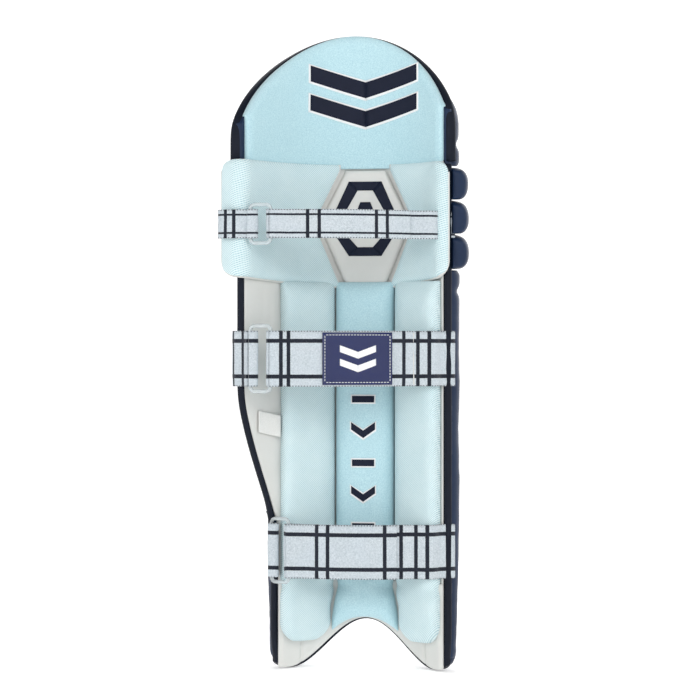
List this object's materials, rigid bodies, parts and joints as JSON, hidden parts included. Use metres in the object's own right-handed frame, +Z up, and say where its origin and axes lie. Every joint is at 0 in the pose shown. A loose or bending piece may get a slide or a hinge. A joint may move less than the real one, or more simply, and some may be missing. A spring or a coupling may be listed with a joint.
{
  "type": "cricket leg pad",
  "caption": "Padded cricket leg guard with cane channels, knee rolls, rounded top hat, inner bolsters and hook-and-loop leg straps.",
  "frame": {"origin": "middle of the underside of the whole pad, on the surface the toes stand on", "axes": "+Z up along the leg, the front (struck) face looks along -Y, the leg sits on the +Y side, +X is the side with the outer wing"},
  "size_m": [0.2576, 0.153, 0.68],
  "materials": {
    "cane": "bare split cane",
    "foam": "closed-cell foam",
    "core_board": "dense foam board",
    "navy_pu": "soft satin coated leather, fine grain",
    "navy_binding": "folded edge binding, satin",
    "white_pu": "soft coated leather, slightly creased",
    "silver_patch": "silver coated patch",
    "navy_print": "glossy film",
    "blue_fleece": "brushed short-pile fabric",
    "blue_mesh": "two-tone diagonal weave",
    "clear_plastic": "moulded, slightly cloudy",
    "webbing": "flat woven elastic with dark border lines",
    "label_cloth": "smooth woven label"
  },
  "bodies": {
    "pad": {"ankle_anchor": "webbing", "ankle_ring": "clear_plastic", "ankle_strap": "webbing", "bolster_centre": "blue_fleece", "bolster_foams": "foam", "bolster_inner": "blue_mesh", "bolster_outer": "blue_mesh", "calf_anchor": "webbing", "calf_ring": "clear_plastic", "calf_strap": "webbing", "calf_strap_tab": "white_pu", "cane_rods": "cane", "front_badge": "silver_patch", "front_badge_emblem": "navy_print", "instep_panel": "navy_pu", "knee_anchor": "webbing", "knee_core": "core_board", "knee_cup": "white_pu", "knee_cup_emblem": "navy_print", "knee_ring": "clear_plastic", "knee_roll_cores": "foam", "knee_roll_lower": "navy_pu", "knee_roll_middle": "navy_pu", "knee_roll_tufts": "navy_binding", "knee_roll_upper": "navy_pu", "knee_strap": "webbing", "outer_wing": "navy_pu", "pad_binding": "navy_binding", "pad_lining": "white_pu", "shin_channel_1": "navy_pu", "shin_channel_2": "navy_pu", "shin_channel_3": "navy_pu", "shin_channel_4": "navy_pu", "shin_channel_5": "navy_pu", "shin_channel_6": "navy_pu", "shin_channel_7": "navy_pu", "shin_core": "core_board", "toe_lining": "white_pu"},
    "top_hat": {"top_hat_binding": "navy_binding", "top_hat_canes": "cane", "top_hat_channel_1": "navy_pu", "top_hat_channel_2": "navy_pu", "top_hat_channel_3": "navy_pu", "top_hat_channel_4": "navy_pu", "top_hat_channel_5": "navy_pu", "top_hat_channel_6": "navy_pu", "top_hat_channel_7": "navy_pu", "top_hat_core": "core_board", "top_hat_emblem": "navy_print", "top_hat_liner": "blue_fleece", "top_hat_wing": "navy_pu"},
    "knee_flap_outer": {"knee_flap_outer": "blue_mesh"},
    "knee_flap_inner": {"knee_flap_inner": "blue_mesh"},
    "knee_tail": {"knee_tail": "webbing"},
    "calf_tail": {"calf_tail": "webbing", "calf_badge": "navy_print"},
    "ankle_tail": {"ankle_tail": "webbing"},
    "size_label": {"size_label": "label_cloth"}
  },
  "joints": [
    {"name": "top_hat_lean", "type": "hinge", "parent": "pad", "child": "top_hat", "pos_m": [0, 0.00019, 0.5435], "axis": [-1, 0, 0], "range_deg": [0, 12], "stiffness_Nm_per_rad": 0.4},
    {"name": "knee_flap_outer_hinge", "type": "hinge", "parent": "pad", "child": "knee_flap_outer", "pos_m": [0.0848, 0.03677, 0.474], "axis": [0, 0, -1], "range_deg": [0, 12], "stiffness_Nm_per_rad": 0.05},
    {"name": "knee_flap_inner_hinge", "type": "hinge", "parent": "pad", "child": "knee_flap_inner", "pos_m": [-0.08303, -0.00663, 0.474], "axis": [0, 0, 1], "range_deg": [0, 12], "stiffness_Nm_per_rad": 0.05},
    {"name": "knee_tail_peel", "type": "hinge", "parent": "pad", "child": "knee_tail", "pos_m": [0.07374, 0.0755, 0.471], "axis": [0, 0, -1], "range_deg": [0, 150]},
    {"name": "calf_tail_peel", "type": "hinge", "parent": "pad", "child": "calf_tail", "pos_m": [0.07374, 0.0755, 0.331], "axis": [0, 0, -1], "range_deg": [0, 150]},
    {"name": "ankle_tail_peel", "type": "hinge", "parent": "pad", "child": "ankle_tail", "pos_m": [0.06448, 0.02815, 0.128], "axis": [0, 0, -1], "range_deg": [0, 150]},
    {"name": "size_label_flip", "type": "hinge", "parent": "pad", "child": "size_label", "pos_m": [0.08875, 0.03753, 0.262], "axis": [0, 0, -1], "range_deg": [0, 60]}
  ]
}
